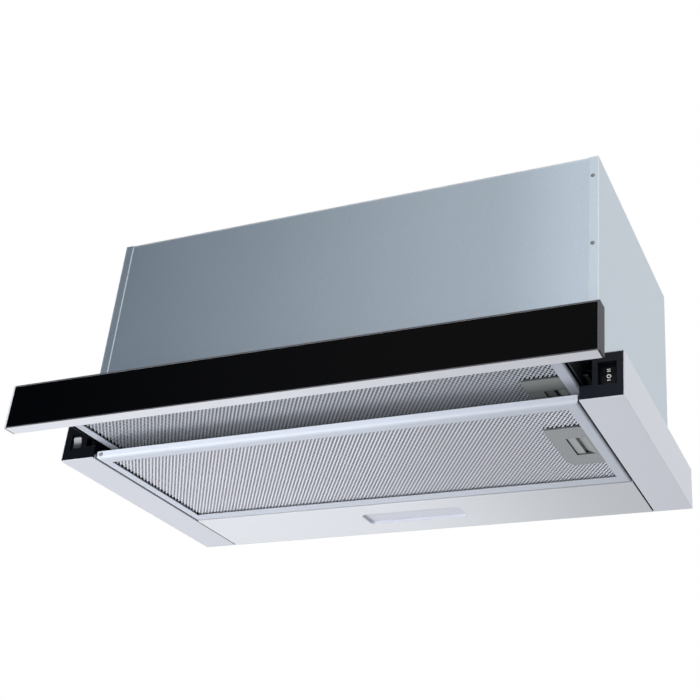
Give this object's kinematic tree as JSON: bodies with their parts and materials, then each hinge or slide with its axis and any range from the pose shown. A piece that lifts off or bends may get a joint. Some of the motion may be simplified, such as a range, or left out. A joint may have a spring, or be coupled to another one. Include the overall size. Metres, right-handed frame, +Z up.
{
  "type": "range hood",
  "caption": "Telescopic under-cabinet range hood: steel housing with blower, slide-out glass-fronted filter drawer, drop-down grease filter, lamp, rocker switches and round duct collar.",
  "frame": {"origin": "centre of the bounding box's underside, with the drawer drawn as modelled", "axes": "+X to the viewer's right when facing the drawer's handle, +Y to the back wall, +Z up"},
  "size_m": [0.604, 0.367, 0.297],
  "materials": {
    "housing_steel": "satin zinc-grey sheet",
    "tray_steel": "smooth silver paint",
    "black_plastic": "fine matt",
    "switch_black": "semi-gloss",
    "lamp_rocker_grey": "semi-gloss",
    "lens_plastic": "frosted, milky",
    "zinc_steel": "zinc plated",
    "rail_steel": "dark grey",
    "blower_plastic": "moulded",
    "impeller_plastic": "moulded",
    "motor_steel": "plain",
    "flap_plastic": "moulded",
    "white_plastic": "moulded",
    "filter_aluminium": "satin anodised",
    "mesh_aluminium": "expanded mesh",
    "latch_plastic": "warm grey, fine matt",
    "handle_aluminium": "satin anodised",
    "cap_plastic": "satin grey",
    "black_glass": "back-painted black glass, polished"
  },
  "bodies": {
    "hood": {"front_panel": "housing_steel", "left_side_panel": "housing_steel", "right_side_panel": "housing_steel", "back_panel": "housing_steel", "top_panel": "housing_steel", "left_base_channel": "tray_steel", "right_base_channel": "tray_steel", "lamp_panel": "tray_steel", "left_front_cover": "black_plastic", "right_front_cover": "black_plastic", "lamp_lens": "lens_plastic", "lamp_module": "zinc_steel", "left_runner": "zinc_steel", "right_runner": "zinc_steel", "runner_brackets": "zinc_steel", "blower_casing_left": "blower_plastic", "blower_casing_right": "blower_plastic", "motor_bracket": "zinc_steel", "motor": "motor_steel", "outlet_plate": "black_plastic", "outlet_collar": "black_plastic", "flap_seat": "black_plastic", "cable_gland": "black_plastic", "terminal_box": "black_plastic", "run_capacitor": "white_plastic", "speed_switch_body": "switch_black", "lamp_switch_body": "switch_black", "drawer_switch": "black_plastic", "housing_screws": "zinc_steel", "collar_screws": "zinc_steel"},
    "impeller_rotor": {"impeller": "impeller_plastic", "impeller_shaft": "zinc_steel"},
    "front_flap": {"front_flap": "flap_plastic"},
    "rear_flap": {"rear_flap": "flap_plastic"},
    "speed_rocker": {"speed_rocker": "switch_black"},
    "lamp_rocker": {"lamp_rocker": "lamp_rocker_grey"},
    "switch_lever": {"switch_lever": "zinc_steel"},
    "lower_filter": {"filter_frame": "filter_aluminium", "filter_mesh": "mesh_aluminium", "filter_rivets": "zinc_steel", "filter_latch_plate": "latch_plastic", "filter_latch_spring": "zinc_steel"},
    "lower_latch": {"filter_latch_slider": "latch_plastic"},
    "drawer": {"drawer_handle": "handle_aluminium", "handle_glass": "black_glass", "left_end_cap": "cap_plastic", "right_end_cap": "cap_plastic", "handle_screws": "zinc_steel", "left_rail": "rail_steel", "right_rail": "rail_steel", "rail_glides": "white_plastic", "drawer_rear_bar": "rail_steel", "drawer_filter_frame": "filter_aluminium", "drawer_filter_mesh": "mesh_aluminium", "drawer_filter_rivets": "zinc_steel", "drawer_latch_plate": "latch_plastic", "drawer_latch_spring": "zinc_steel"},
    "drawer_latch": {"drawer_latch_slider": "latch_plastic"}
  },
  "joints": [
    {"name": "drawer_slide", "type": "slide", "parent": "hood", "child": "drawer", "axis": [0, -1, 0], "range_m": [-0.07, 0.085]},
    {"name": "impeller_spin", "type": "hinge", "parent": "hood", "child": "impeller_rotor", "pos_m": [0, -0.0035, 0.14], "axis": [1, 0, 0], "continuous": true},
    {"name": "front_flap_lift", "type": "hinge", "parent": "hood", "child": "front_flap", "pos_m": [0, 0.0435, 0.271], "axis": [-1, 0, 0], "range_deg": [0, 75]},
    {"name": "rear_flap_lift", "type": "hinge", "parent": "hood", "child": "rear_flap", "pos_m": [0, 0.0495, 0.271], "axis": [1, 0, 0], "range_deg": [0, 75]},
    {"name": "speed_rocker_tilt", "type": "hinge", "parent": "hood", "child": "speed_rocker", "pos_m": [0.2846, -0.0877, 0.024], "axis": [1, 0, 0], "range_deg": [-10, 10]},
    {"name": "lamp_rocker_tilt", "type": "hinge", "parent": "hood", "child": "lamp_rocker", "pos_m": [-0.2844, -0.0923, 0.0205], "axis": [-1, 0, 0], "range_deg": [0, 16]},
    {"name": "switch_lever_press", "type": "hinge", "parent": "hood", "child": "switch_lever", "pos_m": [0.2236, 0.1657, 0.031], "axis": [0, 0, -1], "range_deg": [0, 8], "stiffness_Nm_per_rad": 0.02, "springref_deg": -11.46},
    {"name": "lower_filter_drop", "type": "hinge", "parent": "hood", "child": "lower_filter", "pos_m": [-0.26, 0.0015, 0.0053], "axis": [0, 1, 0], "range_deg": [0, 20]},
    {"name": "lower_latch_draw", "type": "slide", "parent": "lower_filter", "child": "lower_latch", "axis": [-1, 0, 0], "range_m": [0, 0.005], "stiffness_N_per_m": 300, "springref_m": -0.004, "deforming": ["filter_latch_spring"]},
    {"name": "drawer_latch_draw", "type": "slide", "parent": "drawer", "child": "drawer_latch", "axis": [-1, 0, 0], "range_m": [0, 0.005], "stiffness_N_per_m": 300, "springref_m": -0.004, "deforming": ["drawer_latch_spring"]}
  ]
}
